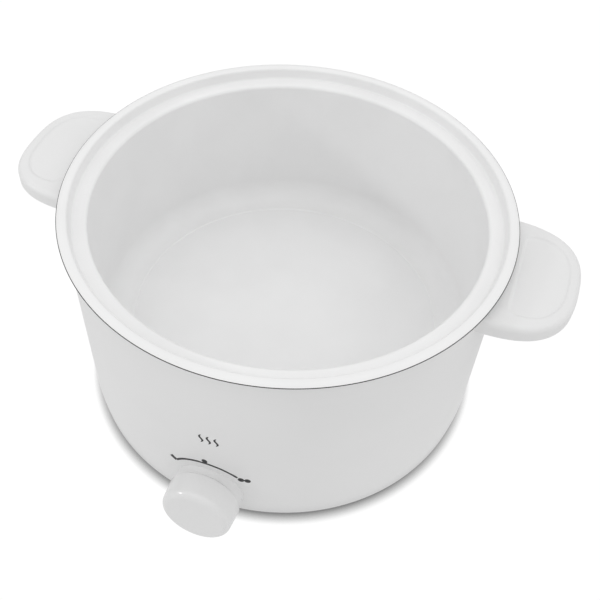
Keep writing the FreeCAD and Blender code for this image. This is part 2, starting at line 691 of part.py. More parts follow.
# ---- wiring and safety parts in the base ----
def terminal_block():
    """Ceramic three-way block on the base plate."""
    body = block(36, 14, 12, BLOCK_PLACE + V(0, 0, 6))
    body = body.makeFillet(1.5, upright_edges(body, Z_AXIS))
    for x in TERMINAL_X:
        body = body.cut(cyl(2.5, 20, BLOCK_PLACE + V(x, -10, 6.5), Y_AXIS))
        body = body.cut(cyl(2.0, 8, BLOCK_PLACE + V(x, 0, 6.5)))
    return body


def terminal_screws():
    screws = []
    for x in TERMINAL_X:
        screw = cyl(1.9, 5.0, BLOCK_PLACE + V(x, 0, 6.0))
        screws.append(screw.cut(block(3.0, 0.6, 1.0, BLOCK_PLACE + V(x, 0, 11.0))))
    return Part.makeCompound(screws)


def thermal_fuse():
    """Fuse capsule under the well's floor, above the heat shield."""
    return cyl(FUSE_R, 2 * FUSE_HALF, V(FUSE_PLACE.x, -FUSE_HALF, FUSE_Z), Y_AXIS)


def fuse_clamp():
    """Sheet clip, spot welded to the well, that holds the fuse up against it."""
    saddle = ring(2.5, FUSE_R + 0.05, 8.0, V(FUSE_PLACE.x, -4, FUSE_Z), Y_AXIS)
    saddle = saddle.cut(block(10, 12, 4, FUSE_PLACE + V(0, 0, -0.6)))
    parts = [saddle]
    for side in (-1, 1):
        parts.append(block(0.55, 8, 2.6, FUSE_PLACE + V(side * 2.225, 0, -1.3)))
        parts.append(block(5.0, 8, 0.5, FUSE_PLACE + V(side * 4.45, 0, -0.3)))
    return fused(parts)


def bent_tube(radius, points, bend):
    """Wire with straight runs and tangent arcs through a list of corner points."""
    edges = []
    start = points[0]
    for i in range(1, len(points) - 1):
        corner = points[i]
        back = (points[i - 1] - corner).normalize()
        ahead = (points[i + 1] - corner).normalize()
        half = math.acos(max(-1.0, min(1.0, back.dot(ahead)))) / 2
        reach = bend / math.tan(half)
        first = corner + back * reach
        last = corner + ahead * reach
        centre = corner + (back + ahead).normalize() * (bend / math.sin(half))
        middle = centre + (corner - centre).normalize() * bend
        edges.append(Part.LineSegment(start, first).toShape())
        edges.append(Part.Arc(first, middle, last).toShape())
        start = last
    edges.append(Part.LineSegment(start, points[-1]).toShape())
    path = Part.Wire(edges)
    aim = (points[1] - points[0]).normalize()
    section = Part.Wire(Part.makeCircle(radius, points[0], aim))
    return path.makePipeShell([section], True, False)


def inlet_wire(x):
    """Lead from an inlet pin to the terminal block's clamp at the same side."""
    pin_x, pin_z = [p for p in INLET_PIN_PLACES if p[0] * x > 0 or p[0] == x][0]
    pin_end = V(pin_x, INLET_PAD_Y - 28.2, pin_z)
    points = [
        pin_end,
        pin_end - V(0, 7, 0),
        V(x, BLOCK_PLACE.y + 12, WIRE_Z),
        V(x, BLOCK_PLACE.y + CLAMP_REACH, WIRE_Z),
    ]
    return bent_tube(WIRE_R, points, 6.0)


def live_wire():
    return inlet_wire(TERMINAL_X[0])


def neutral_wire():
    return inlet_wire(TERMINAL_X[2])


def earth_wire():
    return inlet_wire(TERMINAL_X[1])


def switch_wire():
    """Lead from the terminal block past the vents to the switch."""
    goal = KNOB_PLACE.multVec(V(-9, 0, SWITCH_FRONT - SWITCH_DEPTH - 8.3))
    points = [
        V(TERMINAL_X[0], BLOCK_PLACE.y - CLAMP_REACH, WIRE_Z),
        V(TERMINAL_X[0], BLOCK_PLACE.y - 20, WIRE_Z),
        V(-38, 20, WIRE_Z),
        V(-38, -60, WIRE_Z),
        goal + V(0, 12, 0),
        goal,
    ]
    return bent_tube(WIRE_R, points, 5.0)


def fuse_wire():
    """Lead from the switch up through the heat shield to the thermal fuse."""
    start = KNOB_PLACE.multVec(V(9, 0, SWITCH_FRONT - SWITCH_DEPTH - 8.3))
    points = [
        start,
        start + V(0, 12, 0),
        V(34, -60, 25.0),
        V(34, -34, 25.0),
        V(FUSE_PLACE.x, -22, FUSE_Z),
        V(FUSE_PLACE.x, -FUSE_HALF - 0.2, FUSE_Z),
    ]
    return bent_tube(LEAD_R, points, 4.0)


def heater_live_lead():
    """Lead from the fuse, over the heat shield, up to the heating band."""
    points = [
        V(FUSE_PLACE.x, FUSE_HALF + 0.2, FUSE_Z),
        V(FUSE_PLACE.x, 30, FUSE_Z),
        on_circle(112, 66, FUSE_Z),
        on_circle(CHANNEL_R, 66, 46),
        on_circle(CHANNEL_R, 66, BAND_LOW_Z - 3),
    ]
    return bent_tube(LEAD_R, points, 4.0)


def heater_neutral_lead():
    """Lead from the heating band down and back to the terminal block."""
    points = [
        on_circle(CHANNEL_R, 50, BAND_LOW_Z - 3),
        on_circle(CHANNEL_R, 50, 42),
        on_circle(112, 50, 22),
        V(40, 48, WIRE_Z),
        V(TERMINAL_X[2], 48, WIRE_Z),
        V(TERMINAL_X[2], BLOCK_PLACE.y - CLAMP_REACH, WIRE_Z),
    ]
    return bent_tube(LEAD_R, points, 5.0)


def earth_lead():
    """Lead from the terminal block up through the heat shield to the well's tab."""
    points = [
        V(0, BLOCK_PLACE.y - CLAMP_REACH, WIRE_Z),
        V(0, 54, WIRE_Z),
        V(0, 44, EARTH_END.z),
        EARTH_END,
    ]
    return bent_tube(WIRE_R, points, 5.0)


def earth_tab():
    """Tab welded under the well, with the crimp that holds the earth lead."""
    plate = block(6.3, 14, 0.7, EARTH_END + V(0, 0, 1.85))
    crimp = ring(1.9, WIRE_R + 0.05, 6.0, EARTH_END + V(0, -1, 0), Y_AXIS)
    return fused([plate, crimp])


NODES = {
    "outer_housing": outer_housing,
    "left_handle": lambda: other_side(handle_on_right()),
    "right_handle": handle_on_right,
    "handle_screws": handle_screws,
    "inner_pot": inner_pot,
    "heating_well": heating_well,
    "heater_band": heater_band,
    "heater_straps": heater_straps,
    "insulation_blanket": insulation_blanket,
    "heat_shield": heat_shield,
    "shield_spacers": shield_spacers,
    "tie_rods": tie_rods,
    "tie_nuts": tie_nuts,
    "base_plate": base_plate,
    "rubber_feet": rubber_feet,
    "control_knob": control_knob,
    "knob_hub_ring": knob_hub_ring,
    "control_shaft": control_shaft,
    "switch_case": switch_case,
    "switch_cover": switch_cover,
    "switch_nut": switch_nut,
    "switch_cam": switch_cam,
    "switch_contacts": switch_contacts,
    "switch_terminals": switch_terminals,
    "power_inlet": power_inlet,
    "inlet_pins": inlet_pins,
    "inlet_screws": inlet_screws,
    "terminal_block": terminal_block,
    "terminal_screws": terminal_screws,
    "thermal_fuse": thermal_fuse,
    "fuse_clamp": fuse_clamp,
    "live_wire": live_wire,
    "neutral_wire": neutral_wire,
    "earth_wire": earth_wire,
    "switch_wire": switch_wire,
    "fuse_wire": fuse_wire,
    "heater_live_lead": heater_live_lead,
    "heater_neutral_lead": heater_neutral_lead,
    "earth_lead": earth_lead,
    "earth_tab": earth_tab,
}

os.makedirs("parts", exist_ok=True)
for name, make in NODES.items():
    shape = make()
    shape.exportStep(f"parts/{name}.step")
    box = shape.optimalBoundingBox()
    print(f"{name}: {len(shape.Solids)} solids, valid {shape.isValid()}, volume {shape.Volume:.0f}, "
          f"x {box.XMin:.1f}..{box.XMax:.1f} y {box.YMin:.1f}..{box.YMax:.1f} "
          f"z {box.ZMin:.1f}..{box.ZMax:.1f}")
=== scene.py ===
import json
import math

import bmesh
import bpy
from mathutils import Matrix, Vector


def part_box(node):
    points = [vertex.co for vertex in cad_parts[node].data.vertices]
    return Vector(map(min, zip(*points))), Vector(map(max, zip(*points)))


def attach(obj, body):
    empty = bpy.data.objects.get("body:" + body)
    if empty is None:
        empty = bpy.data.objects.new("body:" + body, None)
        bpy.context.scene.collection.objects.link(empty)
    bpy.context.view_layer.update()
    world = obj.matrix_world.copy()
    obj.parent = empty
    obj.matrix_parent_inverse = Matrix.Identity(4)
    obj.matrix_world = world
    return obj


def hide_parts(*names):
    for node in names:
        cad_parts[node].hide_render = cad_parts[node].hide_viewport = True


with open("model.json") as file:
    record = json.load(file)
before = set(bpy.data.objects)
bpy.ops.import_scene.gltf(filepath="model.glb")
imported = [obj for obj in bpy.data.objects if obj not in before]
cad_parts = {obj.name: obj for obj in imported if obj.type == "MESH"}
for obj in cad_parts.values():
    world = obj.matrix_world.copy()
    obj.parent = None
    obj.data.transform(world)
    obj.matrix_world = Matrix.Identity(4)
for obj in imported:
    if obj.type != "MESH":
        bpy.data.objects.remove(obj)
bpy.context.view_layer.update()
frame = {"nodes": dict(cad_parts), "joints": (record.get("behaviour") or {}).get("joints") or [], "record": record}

# Lengths below are millimetres on the object; MM turns them into Blender's metres.
MM = 0.001

# ---- sizes read from the frame ----
pot_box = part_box("inner_pot")
RIM_R = pot_box[1].x / MM                  # outer radius of the pot's flange
RIM_Z = pot_box[1].z / MM                  # its highest line
right_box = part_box("right_handle")
HANDLE_TOP_Z = right_box[1].z / MM
HANDLE_BOTTOM_Z = right_box[0].z / MM
HANDLE_TIP_X = right_box[1].x / MM
HANDLE_HALF_WIDTH = right_box[1].y / MM
knob_joint = next(j for j in frame["joints"] if j["name"] == "knob_turn")
KNOB_ORIGIN = Vector(knob_joint["pos_m"])
KNOB_OUT = -Vector(knob_joint["axis"])

# ---- the housing's outer wall, straight from its top down to its waist ----
WALL_TOP_R = 131.0
WALL_TOP_Z = 148.0
WALL_WAIST_R = 129.7
WALL_WAIST_Z = 26.3


def wall_radius(z):
    """The wall's outer radius at height z."""
    share = (z - WALL_WAIST_Z) / (WALL_TOP_Z - WALL_WAIST_Z)
    return WALL_WAIST_R + (WALL_TOP_R - WALL_WAIST_R) * share


# ---- helpers for outlines ----
FINE_STEPS = 12                            # steps of a fillet's quarter turn where it shows
NEARLY_STRAIGHT = math.radians(89.9)       # half the angle of a corner that needs no fillet
LEAST_FILLET = 0.2
LEAST_LENGTH = 1e-9                        # stands in for a length of zero in a division


def fillet_path(corners, steps=8):
    """Points of a path through (r, z, fillet radius) corners, with each fillet as an arc."""
    points = [Vector(corners[0][:2])]
    for i in range(1, len(corners) - 1):
        corner = Vector(corners[i][:2])
        radius = corners[i][2]
        back = (Vector(corners[i - 1][:2]) - corner).normalized()
        ahead = (Vector(corners[i + 1][:2]) - corner).normalized()
        half = math.acos(max(-1.0, min(1.0, back.dot(ahead)))) / 2
        if radius <= 0 or half > NEARLY_STRAIGHT:
            points.append(corner)
            continue
        reach = radius / math.tan(half)
        centre = corner + (back + ahead).normalized() * (radius / math.sin(half))
        first = corner + back * reach - centre
        last = corner + ahead * reach - centre
        turn = first.angle_signed(last)
        count = max(2, round(steps * abs(turn) / (math.pi / 2)))
        for k in range(count + 1):
            points.append(centre + Matrix.Rotation(-turn * k / count, 2) @ first)
    points.append(Vector(corners[-1][:2]))
    return points


def offset_corners(corners, distance):
    """The same corners moved to the path's right-hand side, with concentric fillets."""
    points = [Vector(c[:2]) for c in corners]
    steps = [(b - a).normalized() for a, b in zip(points, points[1:])]
    normals = [Vector((s.y, -s.x)) for s in steps]
    moved = []
    for i, point in enumerate(points):
        before = normals[max(i - 1, 0)]
        after = normals[min(i, len(normals) - 1)]
        place = point + (before + after) * (distance / (1 + before.dot(after)))
        radius = 0.0
        if 0 < i < len(points) - 1:
            turns_right = steps[i - 1].cross(steps[i]) < 0
            change = -distance if turns_right else distance
            radius = max(LEAST_FILLET, corners[i][2] + change)
        moved.append((place.x, place.y, radius))
    return moved


def resampled(points, count):
    """The same line with count points, evenly spaced, ends kept."""
    lengths = [0.0]
    for a, b in zip(points, points[1:]):
        lengths.append(lengths[-1] + (b - a).length)
    result = []
    k = 0
    for i in range(count):
        goal = lengths[-1] * i / (count - 1)
        while k < len(points) - 2 and lengths[k + 1] < goal:
            k += 1
        span = max(lengths[k + 1] - lengths[k], LEAST_LENGTH)
        result.append(points[k].lerp(points[k + 1], (goal - lengths[k]) / span))
    return result


# ---- helpers for meshes ----
SHARP_DEG = 32                             # a wider angle between two faces shows as an edge
SAME_POINT = 1e-7                          # metres
ON_AXIS = 1e-6                             # millimetres


def finished_piece(name, mesh, body, material):
    """Turns a bmesh into a shaded, named piece that rides on a CAD body."""
    bmesh.ops.remove_doubles(mesh, verts=mesh.verts, dist=SAME_POINT)
    bmesh.ops.recalc_face_normals(mesh, faces=mesh.faces)
    for edge in mesh.edges:
        inside = len(edge.link_faces) == 2
        edge.smooth = not (inside and edge.calc_face_angle(0) > math.radians(SHARP_DEG))
    for face in mesh.faces:
        face.smooth = True
    data = bpy.data.meshes.new(name)
    mesh.to_mesh(data)
    mesh.free()
    obj = bpy.data.objects.new(name, data)
    bpy.context.scene.collection.objects.link(obj)
    data.materials.append(material)
    normals = obj.modifiers.new("even_normals", "WEIGHTED_NORMAL")
    normals.keep_sharp = True
    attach(obj, body)
    return obj


def lathe(profile, segments):
    """bmesh of an (r, z) profile turned about Z. It closes up unless it starts on the axis."""
    mesh = bmesh.new()
    rings = []
    for point in profile:
        if point.x < ON_AXIS:
            rings.append([mesh.verts.new((0, 0, point.y * MM))])
            continue
        ring = []
        radius = point.x * MM
        for i in range(segments):
            angle = 2 * math.pi * i / segments
            place = (radius * math.cos(angle), radius * math.sin(angle), point.y * MM)
            ring.append(mesh.verts.new(place))
        rings.append(ring)
    starts_on_axis = len(rings[0]) == 1
    following = rings[1:] if starts_on_axis else rings[1:] + rings[:1]
    for low, high in zip(rings, following):
        if len(low) == 1 and len(high) == 1:
            continue
        for i in range(segments):
            j = (i + 1) % segments
            if len(low) == 1:
                mesh.faces.new((low[0], high[i], high[j]))
            elif len(high) == 1:
                mesh.faces.new((low[i], low[j], high[0]))
            else:
                mesh.faces.new((low[i], low[j], high[j], high[i]))
    return mesh


def stacked_rings(rings):
    """bmesh through closed loops with equal point counts, capped at both ends."""
    mesh = bmesh.new()
    loops = [[mesh.verts.new(p * MM) for p in ring] for ring in rings]
    for low, high in zip(loops, loops[1:]):
        count = len(low)
        for i in range(count):
            j = (i + 1) % count
            mesh.faces.new((low[i], low[j], high[j], high[i]))
    mesh.faces.new(loops[0][::-1])
    mesh.faces.new(loops[-1])
    return mesh


def half_turned(mesh):
    """The same bmesh after half a turn about the object's vertical axis."""
    half_turn = Matrix.Rotation(math.pi, 3, "Z")
    bmesh.ops.rotate(mesh, verts=mesh.verts, cent=(0, 0, 0), matrix=half_turn)
    return mesh


# ---- helpers for materials ----
NOISE_RANGE = (0.3, 0.7)                   # most of a noise texture's values lie in here
NOISE_COLOUR_RANGE = (0.35, 0.65)


class Tree:
    """A node tree, with a short way to add and link nodes."""

    def __init__(self, tree):
        self.tree = tree

    def add(self, kind, **settings):
        node = self.tree.nodes.new(kind)
        for key, value in settings.items():
            setattr(node, key, value)
        return node

    def link(self, source, target):
        self.tree.links.new(source, target)

    def ramp(self, factor, positions, colours):
        """A colour that goes from the first to the second between two positions."""
        node = self.add("ShaderNodeValToRGB")
        for stop, position, colour in zip(node.color_ramp.elements, positions, colours):
            stop.position = position
            stop.color = (*colour, 1)
        self.link(factor, node.inputs["Fac"])
        return node.outputs["Color"]

    def ranged(self, factor, from_range, to_range):
        """The factor carried from one range of numbers to another."""
        node = self.add("ShaderNodeMapRange")
        for end, low_high in (("From", from_range), ("To", to_range)):
            node.inputs[end + " Min"].default_value = low_high[0]
            node.inputs[end + " Max"].default_value = low_high[1]
        self.link(factor, node.inputs["Value"])
        return node.outputs["Result"]


class Nodes(Tree):
    """A new material with a Principled shader. Its textures use the object's own coordinates."""

    def __init__(self, name):
        self.material = bpy.data.materials.new(name)
        self.material.use_nodes = True
        super().__init__(self.material.node_tree)
        self.shader = self.tree.nodes["Principled BSDF"]
        self.place = self.add("ShaderNodeTexCoord").outputs["Object"]

    def noise(self, scale, detail=3.0, stretch=(1, 1, 1), roughness=0.5):
        mapping = self.add("ShaderNodeMapping")
        mapping.inputs["Scale"].default_value = stretch
        self.link(self.place, mapping.inputs["Vector"])
        noise = self.add("ShaderNodeTexNoise")
        noise.inputs["Scale"].default_value = scale
        noise.inputs["Detail"].default_value = detail
        noise.inputs["Roughness"].default_value = roughness
        self.link(mapping.outputs["Vector"], noise.inputs["Vector"])
        return noise.outputs["Fac"]

    def colour_between(self, factor, first, second):
        """A colour that a noise factor moves between two others."""
        return self.ramp(factor, NOISE_COLOUR_RANGE, (first, second))

    def spread(self, factor, low, high):
        """A number that a noise factor moves between low and high."""
        return self.ranged(factor, NOISE_RANGE, (low, high))

    def bump(self, height, distance_mm, under=None):
        """A relief of the given depth, on top of the relief under it."""
        bump = self.add("ShaderNodeBump")
        bump.inputs["Strength"].default_value = 1.0
        bump.inputs["Distance"].default_value = distance_mm * MM
        self.link(height, bump.inputs["Height"])
        if under is not None:
            self.link(under, bump.inputs["Normal"])
        return bump.outputs["Normal"]

    def set(self, **values):
        """Sets constant values on the shader's own sockets."""
        for key, value in values.items():
            self.shader.inputs[key.replace("_", " ")].default_value = value


def tinted(colour, factor):
    """The colour made lighter or darker by a factor."""
    return tuple(min(1.0, c * factor) for c in colour)


def moulded_plastic(name, colour, roughness, grain=2600.0, grain_mm=0.004, wave_mm=0.02,
                    polish=0.0):
    """Injection-moulded plastic: faint flow tone, spark-eroded grain and slight sink waves."""
    n = Nodes(name)
    flow = n.noise(14.0, detail=2.0)
    n.link(n.colour_between(flow, tinted(colour, 0.988), tinted(colour, 1.008)),
           n.shader.inputs["Base Color"])
    n.link(n.spread(n.noise(60.0, detail=4.0), roughness - 0.02, roughness + 0.03),
           n.shader.inputs["Roughness"])
    wave = n.bump(n.noise(38.0, detail=1.0), wave_mm)
    n.link(n.bump(n.noise(grain, detail=2.0), grain_mm, under=wave), n.shader.inputs["Normal"])
    n.set(IOR=1.49, Coat_Weight=polish, Coat_Roughness=0.13)
    return n.material


def ceramic_coating(name, colour, roughness):
    """Sprayed white coating: orange peel, faint mottling and a soft gloss."""
    n = Nodes(name)
    mottling = n.noise(22.0, detail=3.0)
    n.link(n.colour_between(mottling, tinted(colour, 0.985), tinted(colour, 1.01)),
           n.shader.inputs["Base Color"])
    n.link(n.spread(n.noise(90.0, detail=3.0), roughness - 0.03, roughness + 0.04),
           n.shader.inputs["Roughness"])
    n.link(n.bump(n.noise(420.0, detail=2.0), 0.006), n.shader.inputs["Normal"])
    n.set(IOR=1.55)
    return n.material


def sheet_metal(name, colour, roughness, along=(1, 1, 14), scratch_mm=0.004):
    """Rolled or turned metal with fine scratches along one direction."""
    n = Nodes(name)
    lines = n.noise(700.0, detail=3.0, stretch=along)
    n.link(n.colour_between(n.noise(35.0, detail=3.0), tinted(colour, 0.9), tinted(colour, 1.05)),
           n.shader.inputs["Base Color"])
    n.link(n.spread(lines, roughness - 0.08, roughness + 0.1), n.shader.inputs["Roughness"])
    n.link(n.bump(lines, scratch_mm), n.shader.inputs["Normal"])
    n.set(Metallic=1.0)
    return n.material


def rubber(name, colour):
    """Moulded rubber: blotchy bloom and a dull, slightly rough skin."""
    n = Nodes(name)
    bloom = n.noise(160.0, detail=4.0)
    n.link(n.colour_between(bloom, tinted(colour, 0.85), tinted(colour, 1.1)),
           n.shader.inputs["Base Color"])
    n.link(n.spread(n.noise(300.0, detail=3.0), 0.62, 0.8), n.shader.inputs["Roughness"])
    n.link(n.bump(n.noise(1500.0, detail=3.0), 0.02), n.shader.inputs["Normal"])
    n.set(IOR=1.5)
    return n.material


def fibre_blanket(name, colour):
    """Needled glass fibre: crossed strands and dimples."""
    n = Nodes(name)
    strands = n.noise(500.0, detail=5.0, stretch=(1, 1, 8), roughness=0.7)
    n.link(n.colour_between(strands, tinted(colour, 0.8), colour), n.shader.inputs["Base Color"])
    dimples = n.add("ShaderNodeTexVoronoi")
    dimples.inputs["Scale"].default_value = 140.0
    n.link(n.place, dimples.inputs["Vector"])
    lumps = n.bump(dimples.outputs["Distance"], 0.6)
    n.link(n.bump(strands, 0.15, under=lumps), n.shader.inputs["Normal"])
    n.set(Roughness=0.95)
    return n.material


def speckled_ceramic(name, colour):
    """Unglazed pressed ceramic with small dark specks."""
    n = Nodes(name)
    specks = n.noise(900.0, detail=2.0, roughness=0.8)
    n.link(n.colour_between(specks, tinted(colour, 0.82), colour), n.shader.inputs["Base Color"])
    n.link(n.bump(n.noise(1200.0, detail=4.0), 0.02), n.shader.inputs["Normal"])
    n.set(Roughness=0.7)
    return n.material


def mica(name, colour):
    """Pressed mica paper: glittering flakes under a thin gloss."""
    n = Nodes(name)
    flakes = n.add("ShaderNodeTexVoronoi")
    flakes.inputs["Scale"].default_value = 420.0
    n.link(n.place, flakes.inputs["Vector"])
    tone = n.colour_between(flakes.outputs["Distance"], tinted(colour, 1.15), tinted(colour, 0.8))
    n.link(tone, n.shader.inputs["Base Color"])
    n.link(n.spread(n.noise(260.0), 0.35, 0.6), n.shader.inputs["Roughness"])
    n.link(n.bump(flakes.outputs["Distance"], 0.05), n.shader.inputs["Normal"])
    return n.material


def sleeve(name, colour):
    """Silicone wire sleeve with a slight bloom."""
    n = Nodes(name)
    bloom = n.noise(240.0, detail=3.0)
    n.link(n.colour_between(bloom, tinted(colour, 0.85), tinted(colour, 1.25)),
           n.shader.inputs["Base Color"])
    n.link(n.spread(n.noise(500.0), 0.4, 0.55), n.shader.inputs["Roughness"])
    n.link(n.bump(n.noise(1800.0), 0.01), n.shader.inputs["Normal"])
    return n.material


def printed_ink(name, colour):
    """Pad-printed ink with slightly uneven density."""
    n = Nodes(name)
    n.link(n.colour_between(n.noise(900.0, detail=4.0), colour, tinted(colour, 2.2)),
           n.shader.inputs["Base Color"])
    n.link(n.spread(n.noise(600.0), 0.45, 0.6), n.shader.inputs["Roughness"])
    return n.material


WHITE = (0.80, 0.80, 0.80)
POT_WHITE = (0.872, 0.872, 0.872)
MATERIALS = {
    "housing": moulded_plastic("housing_plastic", WHITE, 0.38),
    "handle": moulded_plastic("handle_plastic", WHITE, 0.38, wave_mm=0.012),
    "knob": moulded_plastic("knob_plastic", tinted(WHITE, 0.97), 0.38,
                            wave_mm=0.004, polish=0.8),
    "pot_coating": ceramic_coating("pot_coating", POT_WHITE, 0.36),
    # the flange's bare cut edge, near black: partly bare metal, partly a painted shadow of the gap under the
    # flange
    "bare_rim": sheet_metal("bare_rim_painted_shade", (0.09, 0.09, 0.092), 0.45, along=(1, 1, 1)),
    "well_metal": sheet_metal("well_metal", (0.70, 0.70, 0.71), 0.32),
    "heater_mica": mica("heater_mica", (0.45, 0.42, 0.33)),
    "steel_strap": sheet_metal("steel_strap", (0.55, 0.55, 0.56), 0.35, along=(1, 1, 20)),
    "steel_screw": sheet_metal("steel_screw", (0.60, 0.61, 0.64), 0.25, along=(1, 1, 1)),
    "shaft_steel": sheet_metal("shaft_steel", (0.58, 0.58, 0.60), 0.22, along=(1, 14, 1)),
    "glass_wool": fibre_blanket("glass_wool", (0.78, 0.75, 0.62)),
    "base_plastic": moulded_plastic("base_plastic", (0.70, 0.70, 0.70), 0.5,
                                    grain=1800.0, grain_mm=0.012),
    "foot_rubber": rubber("foot_rubber", (0.26, 0.26, 0.26)),
    "switch_plastic": moulded_plastic("switch_plastic", (0.02, 0.02, 0.022), 0.42),
    "cam_plastic": moulded_plastic("cam_plastic", (0.62, 0.60, 0.52), 0.4),
    "contact_brass": sheet_metal("contact_brass", (0.72, 0.52, 0.24), 0.3, along=(1, 8, 1)),
    "inlet_plastic": moulded_plastic("inlet_plastic", (0.018, 0.018, 0.02), 0.38,
                                     grain=2200.0, grain_mm=0.008),
    "ceramic_block": speckled_ceramic("ceramic_block", (0.72, 0.70, 0.62)),
    "wire_brown": sleeve("wire_brown", (0.10, 0.045, 0.02)),
    "wire_blue": sleeve("wire_blue", (0.02, 0.06, 0.28)),
    "wire_green": sleeve("wire_green", (0.06, 0.25, 0.04)),
    "ink": printed_ink("print_ink", (0.012, 0.012, 0.013)),
}


def dress_cad_nodes():
    """Gives every CAD node the finish of its material slot."""
    slots = {s["node"]: s["material_slot"] for s in frame["record"]["subparts"]}
    for name, node in frame["nodes"].items():
        node.data.materials.clear()
        node.data.materials.append(MATERIALS[slots[name]])


# ---- the pot ----
POT_T = 1.2                                # thickness of its sheet
POT_WALL_R = 118.1                         # radius of the cooking space
POT_FLOOR_Z = 44.0
POT_LEDGE_Z = 143.2                        # the flat ring that a lid sits on
POT_LEDGE_OUTER_BEND_R = 1.4
POT_LEDGE_INNER_BEND_R = 2.2
POT_CORNER_R = 15.2                        # between wall and floor
POT_STEP_R = 101.6                         # the floor lies lower inside this circle
POT_STEP_H = 0.5
POT_STEP_HALF_RUN = 0.4                    # half the width of the slope between both levels
POT_STEP_BEND_R = 0.5
FLANGE_EDGE_DROP = 1.15                    # the flange's edge lies this far below its crown
FLANGE_CROWN = (2.6, 0.12, 5.0)            # its bends: how far in from RIM_R and up from
FLANGE_SHOULDER = (6.3, -0.3, 1.6)         # RIM_Z their corner lies, and their radius
FLANGE_WIDTH = 7.8                         # from its edge to the drop to the ledge
FLANGE_EDGE_R = 0.25                       # rounding of the cut edge of the sheet
BARE_SHADE_WIDTH = 0.48                          # the coating stops this far from the edge; this bare band is near black, partly bare metal and partly a painted shadow of the gap under the flange
BARE_LEAST_UP = 0.1                        # a bare face's normal points up by more than this
POT_SEGMENTS = 256


def flange_bend(bend):
    inwards, upwards, radius = bend
    return (RIM_R - inwards, RIM_Z + upwards, radius)


def pot_outline():
    """Corners of the pot's section: along its inside, round its edge, along its outside."""
    step_z = POT_FLOOR_Z + POT_STEP_H
    upper = [
        (RIM_R, RIM_Z - FLANGE_EDGE_DROP, 0),
        flange_bend(FLANGE_CROWN),
        flange_bend(FLANGE_SHOULDER),
        (RIM_R - FLANGE_WIDTH, POT_LEDGE_Z, POT_LEDGE_OUTER_BEND_R),
        (POT_WALL_R, POT_LEDGE_Z, POT_LEDGE_INNER_BEND_R),
        (POT_WALL_R, step_z, POT_CORNER_R),
        (POT_STEP_R + POT_STEP_HALF_RUN, step_z, POT_STEP_BEND_R),
        (POT_STEP_R - POT_STEP_HALF_RUN, POT_FLOOR_Z, POT_STEP_BEND_R),
        (0, POT_FLOOR_Z, 0),
    ]
    lower = offset_corners(upper, -POT_T)
    edge_top = (upper[0][0], upper[0][1], FLANGE_EDGE_R)
    edge_low = (lower[0][0], lower[0][1], FLANGE_EDGE_R)
    rise = (upper[1][1] - upper[0][1]) / (upper[0][0] - upper[1][0])
    bare_from = (RIM_R - BARE_SHADE_WIDTH, upper[0][1] + rise * BARE_SHADE_WIDTH, 0)
    return upper[:0:-1] + [bare_from, edge_top, edge_low] + lower[1:]


def make_pot():
    mesh = lathe(fillet_path(pot_outline(), FINE_STEPS), POT_SEGMENTS)
    pot = finished_piece("pot_shell", mesh, "pot", MATERIALS["pot_coating"])
    # the flange's outer band gets the near-black bare metal, partly a painted shadow of the gap under the flange
    pot.data.materials.append(MATERIALS["bare_rim"])
    for face in pot.data.polygons:
        centre = face.center / MM
        on_edge = math.hypot(centre.x, centre.y) > RIM_R - BARE_SHADE_WIDTH
        if on_edge and face.normal.z > BARE_LEAST_UP:
            face.material_index = 1
    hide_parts("inner_pot")


# ---- handles, made on the +X side and turned for the other ----
HANDLE_MID_X = 123.7                       # centre and exponent of its superellipse
HANDLE_POWER = 2.73
HANDLE_EDGE_R = 3.8                        # rounding of its upper and lower edge
HANDLE_UNDER_R = 1.6
REST_MID_X = 143.4                         # the thumb rest's outline, as in the CAD node
REST_A = 23.6
REST_HALF_WIDTH = 32.4
REST_POWER = 2.5
REST_INNER_X = 137.0
REST_CORNER_R = 6.0
REST_DEPTH = 0.8
REST_SLOPE_R = 2.4                         # both arcs of the soft edge round it
REST_SLOPE_IN = 0.75                       # the soft edge lies this far inside the outline
REST_FLAT_IN = 4.0                         # the recess's flat is one face from this far inside
HANDLE_IN_WALL = 0.05                      # the handle's inner side lies this far in the wall
OUTER_POINTS = 97                          # points on the outer and inner side of each loop
INNER_POINTS = 49
EDGE_STEPS = 10                            # steps of the upper edge's rounding


def superellipse(mid_x, a, b, power, inset, count=400):
    """The half beyond mid_x, from -Y to +Y, moved inwards by inset along its normals."""
    points = []
    for i in range(count + 1):
        t = math.pi * (i / count - 0.5)                     # from -90 to 90 degrees
        x = mid_x + a * abs(math.cos(t)) ** (2 / power)
        y = b * math.copysign(abs(math.sin(t)) ** (2 / power), t)
        points.append(Vector((x, y)))
    moved = []
    for i, point in enumerate(points):
        along = points[min(i + 1, count)] - points[max(i - 1, 0)]
        if i in (0, count):                                 # the ends move along Y only
            along = Vector((1, 0)) if i == 0 else Vector((-1, 0))
        moved.append(point + Vector((-along.y, along.x)).normalized() * inset)
    return moved


def handle_ring(inset, z):
    """Closed loop round the handle at height z; its inner side follows the housing's wall."""
    a = HANDLE_TIP_X - HANDLE_MID_X
    wall = wall_radius(z) - HANDLE_IN_WALL
    line = superellipse(HANDLE_MID_X, a, HANDLE_HALF_WIDTH, HANDLE_POWER, inset)
    outside = [p for p in line if p.length > wall]
    reach = math.asin((HANDLE_HALF_WIDTH - inset) / wall)
    ends = [Vector((wall * math.cos(s * reach), wall * math.sin(s * reach))) for s in (-1, 1)]
    outer = resampled([ends[0]] + outside + [ends[1]], OUTER_POINTS)
    ring = [Vector((p.x, p.y, z)) for p in outer]
    for i in range(1, INNER_POINTS + 1):
        angle = reach * (1 - 2 * i / (INNER_POINTS + 1))
        ring.append(Vector((wall * math.cos(angle), wall * math.sin(angle), z)))
    return ring


